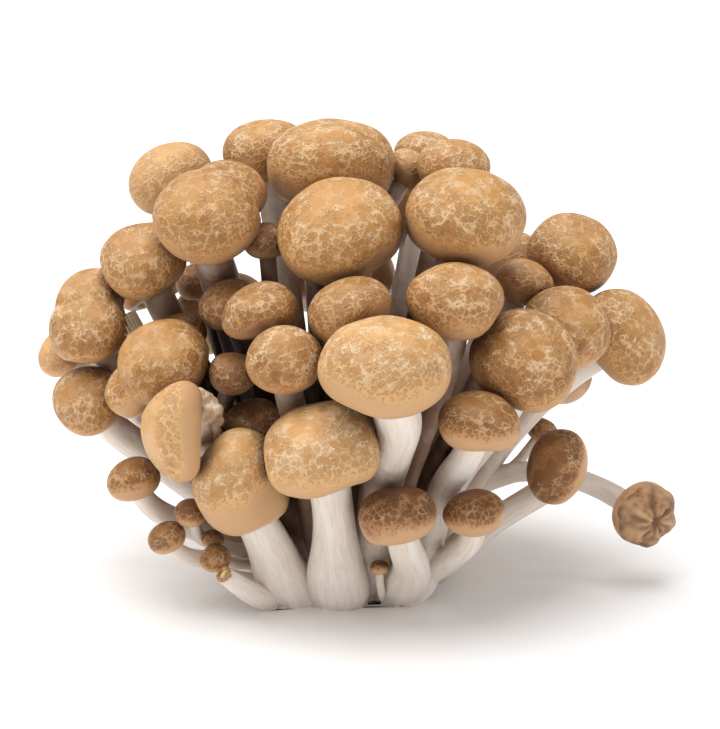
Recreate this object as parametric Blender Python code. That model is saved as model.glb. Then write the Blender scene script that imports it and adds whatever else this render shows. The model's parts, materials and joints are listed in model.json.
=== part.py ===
"""A cluster of brown beech mushrooms, standing on the cut base that its stems share.

Metres, +Z up. The origin is the middle of the cut face under the base, on the table. The viewer stands on
the -Y side. Every cap is a solid of its own, domed above with a rolled-in rim and radial gills below, and
pressed flat where it leans on a neighbour. All stems grow out of one base and are one solid with it.
"""

import math
import random
from collections import namedtuple

import bmesh
import bpy
from mathutils import Matrix, Vector

MM = 0.001
SEED = 11

# The view that the cluster is laid out in: from the front and a little above.
VIEW_ELEVATION = math.radians(15)
VIEW_DISTANCE = 800 * MM
VIEW_HEIGHT = 43 * MM  # height above the table that the middle of the view looks at
VIEW_MIDDLE_ACROSS = 3 * MM
VIEW_MIDDLE_UP = 49.5 * MM
RIGHT = Vector((1, 0, 0))
VIEW_UP = Vector((0, math.sin(VIEW_ELEVATION), math.cos(VIEW_ELEVATION)))
TO_VIEWER = Vector((0, -math.cos(VIEW_ELEVATION), math.sin(VIEW_ELEVATION)))
EYE = Vector((VIEW_MIDDLE_ACROSS, 0, VIEW_HEIGHT)) + VIEW_DISTANCE * TO_VIEWER

# How far separate pieces keep apart, and how much of its radius a cap gives way where it is pressed.
CLEARANCE = 0.3 * MM
GIVE = 0.10
PRESSED_SHARE = 0.35
SETTLING_STEPS = 240
LONGEST_STEP = 0.4 * MM
BENDING_STEPS = 150

# The base that the stems share, and the table that it was cut off at.
BASE_RADIUS_X = 21 * MM
BASE_RADIUS_Y = 18 * MM
BASE_HEIGHT = 15 * MM
BASE_MIDDLE_HEIGHT = 3 * MM
TABLE_BLOCK = 200 * MM
ROOT_DEPTH = 1.5 * MM  # how far stems run below the cut before it is made
HEART = Vector((0, 0, 14 * MM))  # the point that the mushrooms fan out from

# A cap in side view, in shares of its radius and of half its height: over the dome, round the rim, back in.
DOME = [(0.40, 0.94), (0.74, 0.69), (0.96, 0.22), (0.98, -0.36), (0.84, -0.80), (0.66, -0.97)]
SMALL_DOME = [(0.48, 0.90), (0.86, 0.50), (1.0, -0.08), (0.88, -0.70), (0.66, -0.97)]
LIP = (0.54, -0.90)
THROAT = (0.45, -0.56)
THROAT_TOP = -0.50
BROAD = 8.4 * MM  # caps with a bigger radius than this have a finer outline
GILL_HEIGHT = 0.7 * MM
GILL_SHARE = 0.10  # the most of a small cap's radius that a gill stands out
WAVE = 0.035  # how much a rim wanders in and out, as a share of the radius
LOBE_SHARE = 0.11

FLAT_ANGLE = math.radians(3)  # faces that turn less than this against each other become one
STEM_RINGS = 6
THICK_STEM = 3.5 * MM  # radii from which a stem has eight sides, and six
THIN_STEM = 2.5 * MM
STEM_ARCH = 0.38  # how far a stem keeps its first direction, as a share of its span
STEM_SPLAY = 0.45  # how far that direction leans out
FOOT_REACH = 0.33  # a stem stands this share of its cap's distance out from the middle
FOOT_SWELL = 1.3
STEM_TOP_SHARE = 0.40  # a stem's widest at the cap, as a share of the cap's radius

TONES = {
    "pale": (0.62, 0.45, 0.26, 1),
    "tan": (0.50, 0.31, 0.14, 1),
    "brown": (0.26, 0.13, 0.055, 1),
}
FLESH = (0.82, 0.78, 0.70, 1)

# Where a cap's middle is seen from the front: across from the origin, up from the nearest foot, and how
# far it stands forward of the origin, in mm. Lean is the cap's tip to the right and facing how far its
# crown turns to the viewer, in degrees. Foot is where its stem stands: across, and forward.
Cap = namedtuple(
    "Cap",
    "name across up fore radius lean facing tone stem foot foot_radius plump oval lobes arch",
    defaults=("tan", 2.6, None, None, 0.60, 0.0, 0, STEM_ARCH),
)

FRONT = [
    Cap("cap_front_low", -4.1, 33.8, 36, 11.2, -12, 36, "pale", 4.1, (-1, 23), 7.6),
    Cap("cap_front_broad", 8.8, 50.2, 36, 12.8, 3, 27, "pale", 4.4, (6, 17), 5.0),
    Cap("cap_front_brown", 11.2, 20.6, 37, 7.9, -4, 22, "brown", 3.7, (11, 23), 5.4),
    Cap("cap_front_leaning", -20.4, 26.9, 32, 9.5, -18, 28, "pale", 4.9, (-12, 21), 6.4, 1.05),
    Cap("cap_left_sideways", -35.3, 36.3, 27, 9.7, -84, 14, "pale", 3.2, (-13, 12), None, 0.52),
    Cap("cap_front_dark", -17.4, 38.2, 22, 6.4, 0, 44, "brown", 2.6),
    Cap("cap_right_low", 27.4, 38.7, 29, 8.0, 5, 30, "brown", 3.4, (15, 18), 4.6),
    Cap("cap_right_lowest", 26.3, 20.7, 33, 6.3, -10, 26, "brown", 2.8, (17, 17), 3.8),
    Cap("cap_right_tipped", 42.9, 29.6, 14, 7.0, -62, 58, "brown", 2.9, (20, 7), 4.0, 0.62, -0.12),
    Cap("cap_stray_lobed", 60.7, 19.8, 7, 6.9, 125, 55, "brown", 2.4, (16, -5), None, 0.62, 0, 5, 0.72),
    Cap("cap_right_small", 40.2, 36.8, -12, 3.3, 28, 20, "brown", 1.3),
    Cap("pin_right", 23.8, 11.7, 19, 1.8, 10, 30, "brown", 0.9, (17, 13)),
    Cap("pin_front", 7.6, 9.4, 26, 2.1, 0, 10, "brown", 1.1, (6, 18)),
    Cap("pin_left_upper", -30.4, 20.4, 24, 3.5, -8, 28, "brown", 1.7),
    Cap("pin_left_outer", -35.2, 15.6, 24, 3.9, -28, 28, "brown", 2.2, (-16, 8)),
    Cap("pin_left_inner", -25.9, 15.2, 24, 2.3, 5, 25, "brown", 1.1),
    Cap("pin_left_lower", -25.5, 11.2, 28, 3.1, -14, 38, "brown", 1.5, (-15, 17)),
    Cap("cap_left_small", -41.9, 27.4, 19, 5.5, -14, 32, "brown", 2.9, (-15, 8)),
    Cap("cap_left_low", -51.0, 43.2, 10, 7.8, -28, 52, "tan", 3.6),
    Cap("cap_left_broad", -36.0, 50.9, 21, 9.4, -12, 48, "tan", 3.2),
    Cap("cap_left_lobe", -41.4, 45.6, 16, 6.9, -36, 34, "tan", 2.4),
    Cap("cap_left_rim", -56.2, 52.6, -6, 5.6, -48, 26, "pale", 2.2),
    Cap("cap_left_front", -50.8, 57.4, 6, 8.5, -24, 44, "tan", 2.8),
    Cap("cap_left_twin", -50.6, 63.4, 0, 7.4, -18, 34, "tan", 2.4),
    Cap("cap_left_high", -40.0, 71.1, 3, 8.9, -18, 48, "tan", 3.3),
    Cap("cap_upper_left", -27.6, 80.0, 9, 11.1, -8, 44, "tan", 3.7),
    Cap("cap_upper_left_twin", -22.4, 84.9, 1, 7.9, 14, 32, "tan", 2.8),
    Cap("cap_top_left", -34.6, 87.8, -22, 9.2, -22, 28, "pale", 3.0),
    Cap("cap_top_rear_left", -15.4, 93.3, -22, 8.8, -8, 26, "tan", 3.0),
    Cap("cap_top", -2.2, 90.6, -6, 13.4, 0, 14, "tan", 4.2),
    Cap("cap_upper_front", -0.5, 77.2, 13, 12.7, -6, 42, "pale", 3.9),
    Cap("cap_top_rear_right", 16.8, 92.4, -24, 6.6, 6, 22, "tan", 2.4),
    Cap("cap_top_right", 22.4, 89.9, -8, 7.7, 12, 30, "tan", 2.8),
    Cap("cap_top_wedged", 13.8, 89.1, -14, 5.3, 40, 12, "pale", 1.9),
    Cap("cap_upper_right", 24.8, 80.3, 10, 12.5, 8, 30, "tan", 4.0),
    Cap("cap_right_high", 46.3, 72.6, -5, 9.6, 14, 40, "tan", 3.1),
    Cap("cap_right_outer", 57.0, 55.9, -3, 10.2, 62, 30, "tan", 3.6),
    Cap("cap_right_rear", 45.0, 57.8, 8, 9.4, 28, 46, "tan", 3.2),
    Cap("cap_right_broad", 36.6, 51.7, 20, 11.1, 8, 46, "tan", 3.5),
    Cap("cap_right_centre", 23.0, 63.2, 24, 9.7, 6, 32, "tan", 3.4),
    Cap("cap_right_shaded", 36.6, 66.7, 4, 6.2, 22, 22, "pale", 2.2),
    Cap("cap_centre_shaded", 1.2, 61.0, 24, 8.6, -22, 24, "tan", 2.8),
    Cap("cap_centre_left", -16.2, 61.0, 22, 7.6, -15, 28, "brown", 2.7),
    Cap("cap_centre_left_rear", -23.0, 62.4, 14, 6.0, -20, 40, "brown", 2.2),
    Cap("cap_centre_low", -11.4, 51.3, 29, 7.8, 0, 50, "brown", 3.0),
    Cap("cap_left_inner", -21.9, 48.4, 21, 5.1, 4, 42, "brown", 2.0),
    Cap("cap_left_hidden", -32.2, 56.6, 11, 5.4, -8, 28, "brown", 2.0),
    Cap("cap_inner_upper", -15.0, 75.0, 3, 5.0, 0, 28, "brown", 1.9),
    Cap("cap_inner_left", -27.8, 66.9, -10, 5.6, -10, 12, "brown", 2.0),
]

# The side turned away: across, back from the origin, height above the table, radius and tone.
Rear = namedtuple("Rear", "name across back height radius tone stem", defaults=(3.2,))

REAR = [
    Rear("cap_rear_high_left", -30, 34, 68, 11.2, "tan", 3.4),
    Rear("cap_rear_high_centre", -6, 36, 72.5, 12.2, "pale", 3.8),
    Rear("cap_rear_high_right", 17, 36, 70, 11.4, "tan", 3.4),
    Rear("cap_rear_right_shoulder", 37, 28, 57, 10.4, "tan"),
    Rear("cap_rear_left_shoulder", -40, 32, 54, 8.6, "tan", 3.0),
    Rear("cap_rear_left_side", -47, 23, 38, 10.0, "tan"),
    Rear("cap_rear_left", -26, 41, 44, 11.2, "pale", 3.4),
    Rear("cap_rear_centre", -1, 47, 51, 12.2, "tan", 3.8),
    Rear("cap_rear_right", 23, 42, 47, 11.2, "tan", 3.4),
    Rear("cap_rear_right_side", 43, 25, 37, 9.8, "brown"),
    Rear("cap_rear_low_left", -17, 40, 24, 8.2, "brown", 3.0),
    Rear("cap_rear_low_right", 8, 43, 28, 8.4, "brown", 3.0),
    Rear("cap_rear_low_side", 29, 34, 24, 7.0, "brown", 2.8),
]

# Caps that grew into each other and are one piece on one stem: the second joins the first.
TWINS = {
    "cap_left_broad": "cap_left_lobe",
    "cap_left_front": "cap_left_twin",
    "cap_upper_left": "cap_upper_left_twin",
}

# A thin stem whose cap broke off: where it stands, where it ends, and its radius.
STUB_FOOT = (-13, 22)
STUB_END = (-23.6, 7.9, 33)
STUB_RADIUS = 1.9 * MM

# The knobbly flesh under the sideways cap: lumps round the top of its stem, across, up, fore and radius.
KNOBS = [
    (-28.2, 43.2, 26.5, 1.9),
    (-26.2, 40.4, 27.0, 2.2),
    (-28.6, 38.6, 27.5, 2.0),
    (-25.9, 36.6, 26.0, 1.7),
    (-29.2, 36.0, 26.5, 2.2),
]


def seen_at(across, up, fore):
    """The point that shows at this place in the view and stands this far forward of the origin, from mm."""
    sight = RIGHT * (across * MM - VIEW_MIDDLE_ACROSS) + VIEW_UP * (up * MM - VIEW_MIDDLE_UP)
    sight -= VIEW_DISTANCE * TO_VIEWER
    return EYE + sight * ((-fore * MM - EYE.y) / sight.y)


def crown_direction(lean, facing):
    """The way that a crown points, from its lean in the view and its turn towards the viewer, in degrees."""
    lean, facing = math.radians(lean), math.radians(facing)
    flat = RIGHT * math.sin(lean) + VIEW_UP * math.cos(lean)
    return flat * math.cos(facing) + TO_VIEWER * math.sin(facing)


class Mushroom:
    """One mushroom: its cap as a flattened ball with a direction, and its stem as a line of points."""

    def __init__(self, cap):
        self.name, self.tone = cap.name, cap.tone
        self.radius, self.stem_radius = cap.radius * MM, cap.stem * MM
        self.foot, self.foot_radius = None, self.stem_radius * FOOT_SWELL
        self.oval, self.lobes, self.plump, self.arch = 0.0, 0, 0.60, STEM_ARCH
        if isinstance(cap, Rear):
            self.centre = Vector((cap.across, cap.back, cap.height)) * MM
            self.axis = ((self.centre - HEART).normalized() + Vector((0, 0, 0.55))).normalized()
            self.sight = None
        else:
            self.centre = seen_at(cap.across, cap.up, cap.fore)
            self.axis = crown_direction(cap.lean, cap.facing)
            self.sight = (EYE - self.centre).normalized()
            self.oval, self.lobes, self.plump, self.arch = cap.oval, cap.lobes, cap.plump, cap.arch
            if cap.foot:
                self.foot = Vector((cap.foot[0] * MM, -cap.foot[1] * MM, 0))
            if cap.foot_radius:
                self.foot_radius = cap.foot_radius * MM
        self.half_height = self.radius * self.plump
        self.cuts = []

    def reach(self, direction):
        """How far the cap reaches from its centre in a direction."""
        along = direction.dot(self.axis)
        aside = math.sqrt(max(0.0, 1 - along * along))
        swing = 1 + WAVE * 1.6 + self.oval + (LOBE_SHARE if self.lobes else 0)
        outline = [(0, 1), *DOME]
        return max(self.radius * swing * r * aside + self.half_height * z * along for r, z in outline)

    def move(self, away, distance):
        """Moves the cap away from a neighbour: along the line of sight if it shows, or straight off."""
        if self.sight is None:
            self.centre += away * min(distance, LONGEST_STEP)
            return
        along = away.dot(self.sight)
        step = min(distance / max(abs(along), 0.4), LONGEST_STEP)
        self.centre += self.sight * math.copysign(step, along)

    def underside(self):
        """The middle of the cap's underside, where the stem ends."""
        return self.centre + self.axis * (THROAT_TOP * self.half_height - 1.5 * CLEARANCE)


def settle(mushrooms):
    """Moves caps that share too much room apart, and leaves the rest of each overlap as a pressed face."""
    twins = set(TWINS.items())
    pairs = [
        (a, b)
        for i, a in enumerate(mushrooms)
        for b in mushrooms[i + 1 :]
        if (a.name, b.name) not in twins and (b.name, a.name) not in twins
    ]
    for _ in range(SETTLING_STEPS):
        for a, b in pairs:
            between = b.centre - a.centre
            if between.length > a.radius + b.radius:
                continue
            direction = between.normalized()
            room = a.reach(direction) + b.reach(direction)
            excess = room * (1 - GIVE) - between.length
            if excess > 0:
                a.move(-direction, excess / 2)
                b.move(direction, excess / 2)
    for a, b in pairs:
        between = b.centre - a.centre
        direction = between.normalized()
        near, far = a.reach(direction), b.reach(direction)
        if near + far + 2 * CLEARANCE > between.length:
            middle = a.centre + direction * (between.length * near / (near + far))
            a.cuts.append((middle - direction * CLEARANCE / 2, direction))
            b.cuts.append((middle + direction * CLEARANCE / 2, -direction))


def bezier(p0, p1, p2, p3, t):
    """A point on a curve of four handles."""
    s = 1 - t
    return p0 * s**3 + p1 * (3 * s * s * t) + p2 * (3 * s * t * t) + p3 * t**3


def stem_line(mushroom):
    """The middle line of a stem, from under the cut to its cap: out of the base, then up into the crown."""
    top = mushroom.underside()
    foot = mushroom.foot or Vector((top.x * FOOT_REACH, top.y * FOOT_REACH, 0))
    foot.z = mushroom.foot_radius * 0.8
    outward = Vector((top.x - foot.x, top.y - foot.y, 0))
    splay = STEM_SPLAY * STEM_ARCH / mushroom.arch
    rise = (outward * splay + Vector((0, 0, max(top.z * 0.8, outward.length * 0.5)))).normalized()
    span = (top - foot).length
    handles = foot, foot + rise * span * mushroom.arch, top - mushroom.axis * span * 0.34, top
    return [bezier(*handles, k / (STEM_RINGS - 1)) for k in range(STEM_RINGS)]


def stem_radii(mushroom):
    """A stem's radius at each point of its line: swollen at the foot, slim above it, wider at the cap."""
    top_radius = min(mushroom.stem_radius * 1.12, mushroom.radius * STEM_TOP_SHARE)
    radii = []
    for k in range(STEM_RINGS):
        t = k / (STEM_RINGS - 1)
        swell = math.exp(-((t / 0.22) ** 2))
        slim = mushroom.stem_radius + (top_radius - mushroom.stem_radius) * t**3
        radii.append(slim + (mushroom.foot_radius - mushroom.stem_radius) * swell)
    return radii


def clear_of_caps(mushroom, line, radii, mushrooms):
    """Bends a stem's line round the caps that stand in its way, with smooth bends and its ends in place."""
    drawn = list(line)
    for _ in range(BENDING_STEPS):
        for k in range(1, len(line) - 1):
            for other in mushrooms:
                if other is mushroom and k > len(line) - 4:
                    continue
                offset = line[k] - other.centre
                along = offset.dot(other.axis)
                aside = offset - other.axis * along
                wide = other.radius + radii[k] + 2 * CLEARANCE
                tall = other.half_height + radii[k] + 2 * CLEARANCE
                inside = math.sqrt((aside.length / wide) ** 2 + (along / tall) ** 2)
                if inside < 1:
                    forward = (line[k + 1] - line[k - 1]).normalized()
                    push = offset - forward * offset.dot(forward)
                    line[k] += push.normalized() * min((1 - inside) * wide, LONGEST_STEP)
        bends = [point - start for point, start in zip(line, drawn)]
        for k in range(1, len(line) - 1):
            line[k] = drawn[k] + bends[k] * 0.9 + (bends[k - 1] + bends[k + 1]) * 0.05
    return line


def press_on_stem(cap, line, radii):
    """Presses a cap flat where another mushroom's stem still runs into it."""
    deepest = 0.0
    for k in range(len(line) - 1):
        for share in (0.0, 0.5):
            point = line[k].lerp(line[k + 1], share)
            radius = radii[k] * (1 - share) + radii[k + 1] * share
            along = (line[k + 1] - line[k]).normalized()
            across = cap.centre - point
            across -= along * across.dot(along)
            if across.length < 1e-6:
                continue
            direction = across.normalized()
            face = point + direction * (radius + CLEARANCE)
            depth = cap.reach(direction) - (cap.centre - face).dot(direction)
            beside = abs((cap.centre - point).dot(along))
            if depth > 0 and beside < cap.reach(along) + radius:
                deepest = max(deepest, depth)
                if depth < cap.radius * PRESSED_SHARE:
                    cap.cuts.append((face, -direction))
    return deepest


def segments_for(radius):
    """How many sides a cap has, by its size. An even number, so that gills alternate."""
    if radius > BROAD:
        return 12
    return 10 if radius > 4.5 * MM else 8


def cap_mesh(mushroom, grow=0.0):
    """A cap as a closed bmesh: rings from the crown over the rim and back under to the stem."""
    dice = random.Random(f"{SEED} {mushroom.name}")
    cap_radius, half_height = mushroom.radius + grow, mushroom.half_height + grow
    sides = segments_for(mushroom.radius)
    dome = DOME if mushroom.radius > BROAD else SMALL_DOME
    rings = [*dome, LIP, THROAT]
    flats = (1 + 1 / math.cos(math.pi / sides)) / 2  # makes up for the straight edges between the corners
    phases = [dice.uniform(0, 2 * math.pi) for _ in range(3)]
    turn = mushroom.axis.to_track_quat("Z", "Y").to_matrix().to_4x4()
    place = Matrix.Translation(mushroom.centre) @ turn
    gill = min(GILL_HEIGHT, mushroom.radius * GILL_SHARE) / 2
    mesh = bmesh.new()
    top = mesh.verts.new((0, 0, half_height))
    loops = []
    for level, (share, height) in enumerate(rings):
        loop = []
        for k in range(sides):
            angle = 2 * math.pi * k / sides
            wander = WAVE * share * (math.cos(2 * angle + phases[0]) + 0.6 * math.cos(3 * angle + phases[1]))
            wander += mushroom.oval * math.cos(2 * angle)
            if mushroom.lobes:
                wander += LOBE_SHARE * share * math.cos(mushroom.lobes * angle + phases[2])
            radius = cap_radius * share * (1 + wander) * flats
            z = half_height * height
            if level >= len(dome):
                radius = mushroom.radius * share
                z = mushroom.half_height * height - grow + (gill if k % 2 and not grow else -gill)
            loop.append(mesh.verts.new((radius * math.cos(angle), radius * math.sin(angle), z)))
        loops.append(loop)
    bottom = mesh.verts.new((0, 0, mushroom.half_height * THROAT_TOP - grow))
    for k in range(sides):
        after = (k + 1) % sides
        mesh.faces.new((top, loops[0][k], loops[0][after]))
        for upper, lower in zip(loops, loops[1:]):
            mesh.faces.new((upper[k], lower[k], lower[after], upper[after]))
        mesh.faces.new((bottom, loops[-1][after], loops[-1][k]))
    bmesh.ops.transform(mesh, matrix=place, verts=mesh.verts)
    for vert in mesh.verts:
        for point, direction in mushroom.cuts:
            beyond = (vert.co - point).dot(direction) - grow
            if beyond > 0:
                vert.co -= direction * beyond
    bmesh.ops.triangulate(mesh, faces=mesh.faces)
    bmesh.ops.recalc_face_normals(mesh, faces=mesh.faces)
    return mesh


def tube_mesh(line, radii, sides):
    """A closed tube round a line of points."""
    mesh = bmesh.new()
    loops = []
    side = Vector((1, 0, 0))
    for k, point in enumerate(line):
        along = (line[min(k + 1, len(line) - 1)] - line[max(k - 1, 0)]).normalized()
        side = (side - along * side.dot(along)).normalized()
        other = along.cross(side)
        loop = []
        for n in range(sides):
            angle = 2 * math.pi * n / sides
            loop.append(mesh.verts.new(point + (side * math.cos(angle) + other * math.sin(angle)) * radii[k]))
        loops.append(loop)
    for lower, upper in zip(loops, loops[1:]):
        for n in range(sides):
            after = (n + 1) % sides
            mesh.faces.new((lower[n], lower[after], upper[after], upper[n]))
    mesh.faces.new(list(reversed(loops[0])))
    mesh.faces.new(loops[-1])
    bmesh.ops.recalc_face_normals(mesh, faces=mesh.faces)
    return mesh


def ball_mesh(centre, sizes, sides, rings):
    """A closed ball with its own size along each axis."""
    mesh = bmesh.new()
    bmesh.ops.create_uvsphere(mesh, u_segments=sides, v_segments=rings, radius=1)
    bmesh.ops.transform(mesh, matrix=Matrix.Translation(centre) @ Matrix.Diagonal((*sizes, 1)), verts=mesh.verts)
    return mesh


def material(name, colour, roughness):
    """A plain matt finish."""
    made = bpy.data.materials.new(name)
    made.use_nodes = True
    shader = made.node_tree.nodes["Principled BSDF"]
    shader.inputs["Base Color"].default_value = colour
    shader.inputs["Roughness"].default_value = roughness
    shader.inputs["Metallic"].default_value = 0.0
    return made


def add_object(name, mesh, finish, collection=None):
    """An object from a bmesh."""
    data = bpy.data.meshes.new(name)
    mesh.to_mesh(data)
    mesh.free()
    made = bpy.data.objects.new(name, data)
    (collection or bpy.context.scene.collection).objects.link(made)
    if finish:
        data.materials.append(finish)
    return made


def union(target, collection, operation="UNION"):
    """Joins, or takes away, all that a collection holds, and removes the collection's objects."""
    joint = target.modifiers.new("join", "BOOLEAN")
    joint.operation = operation
    joint.operand_type = "COLLECTION"
    joint.collection = collection
    joint.solver = "MANIFOLD"
    bpy.context.view_layer.update()
    graph = bpy.context.evaluated_depsgraph_get()
    joined = bpy.data.meshes.new_from_object(target.evaluated_get(graph))
    target.modifiers.remove(joint)
    target.data = joined
    for piece in list(collection.objects):
        bpy.data.objects.remove(piece)
    bpy.data.collections.remove(collection)


def keep_largest_shell(thing):
    """Drops the scraps and the closed-in hollows that joining left, so that one solid skin stays."""
    mesh = bmesh.new()
    mesh.from_mesh(thing.data)
    unseen = set(mesh.verts)
    shells = []
    while unseen:
        shell, edge = [], [unseen.pop()]
        while edge:
            vert = edge.pop()
            shell.append(vert)
            for link in vert.link_edges:
                beyond = link.other_vert(vert)
                if beyond in unseen:
                    unseen.remove(beyond)
                    edge.append(beyond)
        shells.append(shell)
    shells.sort(key=len)
    bmesh.ops.delete(mesh, geom=[vert for shell in shells[:-1] for vert in shell], context="VERTS")
    bmesh.ops.dissolve_limit(mesh, angle_limit=FLAT_ANGLE, verts=mesh.verts, edges=mesh.edges)
    bmesh.ops.triangulate(mesh, faces=mesh.faces)
    mesh.to_mesh(thing.data)
    mesh.free()


def new_collection(name):
    """An empty collection in the scene."""
    made = bpy.data.collections.new(name)
    bpy.context.scene.collection.children.link(made)
    return made


def smooth(thing):
    """Smooth shading, with creases kept sharp."""
    thing.data.shade_smooth()
    thing.data.set_sharp_from_angle(angle=math.radians(50))


def build_base_and_stems(mushrooms, flesh):
    """The base, every stem, the broken stub and the knobbly flesh as one solid, cut flat at the table."""
    base = add_object(
        "base_and_stems",
        ball_mesh(
            Vector((0, 0, BASE_MIDDLE_HEIGHT)),
            (BASE_RADIUS_X, BASE_RADIUS_Y, BASE_HEIGHT - BASE_MIDDLE_HEIGHT),
            12,
            6,
        ),
        flesh,
    )
    pieces = new_collection("stem pieces")
    pressed = []
    for mushroom in mushrooms:
        if mushroom.name in TWINS.values():
            continue
        radii = stem_radii(mushroom)
        line = clear_of_caps(mushroom, stem_line(mushroom), radii, mushrooms)
        for other in mushrooms:
            if other is not mushroom:
                pressed.append((press_on_stem(other, line, radii), other.name, mushroom.name))
        root = line[0] - Vector((0, 0, line[0].z + ROOT_DEPTH))
        sides = 8 if mushroom.stem_radius > THICK_STEM else 6 if mushroom.stem_radius > THIN_STEM else 5
        tube = tube_mesh([root, *line], [radii[0] * 0.72, *radii], sides)
        add_object(f"stem {mushroom.name}", tube, None, pieces)
    foot = Vector((STUB_FOOT[0] * MM, -STUB_FOOT[1] * MM, STUB_RADIUS))
    end = seen_at(*STUB_END)
    low = foot.lerp(end, 0.5) - Vector((0, 0, 1.0 * MM))
    stub = tube_mesh([foot, low, end], [STUB_RADIUS * 1.2, STUB_RADIUS * 1.1, STUB_RADIUS], 8)
    add_object("stem stub", stub, None, pieces)
    for across, up, fore, radius in KNOBS:
        ball = ball_mesh(seen_at(across, up, fore), (radius * MM,) * 3, 7, 5)
        add_object("knob", ball, None, pieces)
    union(base, pieces)
    table = new_collection("table")
    block = bmesh.new()
    bmesh.ops.create_cube(block, size=TABLE_BLOCK)
    bmesh.ops.translate(block, verts=block.verts, vec=(0, 0, -TABLE_BLOCK / 2))
    add_object("table block", block, None, table)
    union(base, table, "DIFFERENCE")
    room = new_collection("room for the caps")
    for mushroom in mushrooms:
        add_object(f"room for {mushroom.name}", cap_mesh(mushroom, CLEARANCE), None, room)
    union(base, room, "DIFFERENCE")
    keep_largest_shell(base)
    smooth(base)
    for depth, cap, stem in sorted(pressed, reverse=True)[:14]:
        print(f"{cap} is pressed {depth / MM:.1f} mm deep by the stem of {stem}")


def build_caps(mushrooms, finishes):
    """Each cap as its own object, except a twin, which joins the cap that it grew into."""
    meshes = {m.name: cap_mesh(m) for m in mushrooms}
    for mushroom in mushrooms:
        name = mushroom.name
        if name in TWINS.values():
            continue
        cap = add_object(name, meshes[name], finishes[mushroom.tone])
        if name in TWINS:
            pair = new_collection(f"twin of {name}")
            add_object(f"{name} twin", meshes[TWINS[name]], None, pair)
            union(cap, pair)
            keep_largest_shell(cap)
        smooth(cap)


def main():
    for thing in list(bpy.data.objects):
        bpy.data.objects.remove(thing)
    mushrooms = [Mushroom(cap) for cap in [*FRONT, *REAR]]
    settle(mushrooms)
    finishes = {tone: material(f"cap {tone}", colour, 0.55) for tone, colour in TONES.items()}
    build_base_and_stems(mushrooms, material("flesh", FLESH, 0.5))
    build_caps(mushrooms, finishes)


main()
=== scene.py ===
# %% [markdown]
# A cluster of brown beech mushrooms, dressed for a studio picture.
#
# The solids that the cluster is made of are loaded first. They have few and flat faces. Each cell after
# that takes one part of the mushrooms, says what it is like on the real thing, and makes it finer: the
# caps with their net of pale cracks, the gills under them, and the white stems on their shared base.

# %% Load the solids
import json
import math

import bmesh
import bpy
from mathutils import Matrix, Vector, noise
from mathutils.bvhtree import BVHTree
from mathutils.kdtree import KDTree


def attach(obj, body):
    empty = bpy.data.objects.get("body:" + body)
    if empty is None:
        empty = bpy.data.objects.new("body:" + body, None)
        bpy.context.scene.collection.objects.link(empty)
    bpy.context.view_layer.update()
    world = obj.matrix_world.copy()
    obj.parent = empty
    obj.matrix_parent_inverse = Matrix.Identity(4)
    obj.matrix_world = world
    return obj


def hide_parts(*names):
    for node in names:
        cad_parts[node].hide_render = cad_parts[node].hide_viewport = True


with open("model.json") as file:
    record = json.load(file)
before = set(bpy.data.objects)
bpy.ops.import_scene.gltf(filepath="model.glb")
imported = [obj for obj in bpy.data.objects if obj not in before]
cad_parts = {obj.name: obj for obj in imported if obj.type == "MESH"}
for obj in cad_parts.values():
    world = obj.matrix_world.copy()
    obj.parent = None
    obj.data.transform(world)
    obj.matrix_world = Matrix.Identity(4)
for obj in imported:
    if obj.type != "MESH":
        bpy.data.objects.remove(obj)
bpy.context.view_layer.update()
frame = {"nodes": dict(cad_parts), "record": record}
nodes = frame["nodes"]
MM = 0.001
SMOOTH_ANGLE = math.radians(60)  # edges that bend less than this are shaded smooth
print(len(nodes), "solids are loaded")

# %% [markdown]
# The camera. The cluster is seen from the front and a little above, from far off with a long lens, so that
# near and far caps keep their true sizes. The camera looks along a line through one point in the middle of
# the cluster, and the lens is as long as it takes for the picture's height to hold a known length there.

# %% Camera
VIEW_ELEVATION = math.radians(15)
VIEW_DISTANCE = 800 * MM
VIEW_AIM = Vector((3.6, 0, 43.4)) * MM
VIEW_HEIGHT_HELD = 145.8 * MM  # how much height the picture shows at the aim point
SENSOR = 36  # millimetres, as the camera counts them
NEAREST_SEEN = 10 * MM

to_camera = Vector((0, -math.cos(VIEW_ELEVATION), math.sin(VIEW_ELEVATION)))
bpy.ops.object.camera_add(location=VIEW_AIM + to_camera * VIEW_DISTANCE)
camera = bpy.context.object
camera.name = "camera"
camera.rotation_euler = to_camera.to_track_quat("Z", "Y").to_euler()
camera.data.lens = SENSOR * VIEW_DISTANCE / VIEW_HEIGHT_HELD
camera.data.sensor_width = SENSOR
camera.data.clip_start = NEAREST_SEEN
bpy.context.scene.camera = camera
print("lens", round(camera.data.lens), "mm")

# %% [markdown]
# Materials are written as sums in Python. A Wire is one output socket of a node, and adding or multiplying it
# by a number or by another wire adds the Math node that does it. Every other node comes from one method of
# the Board, which takes the type of the node, its settings and what goes into its sockets.


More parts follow.
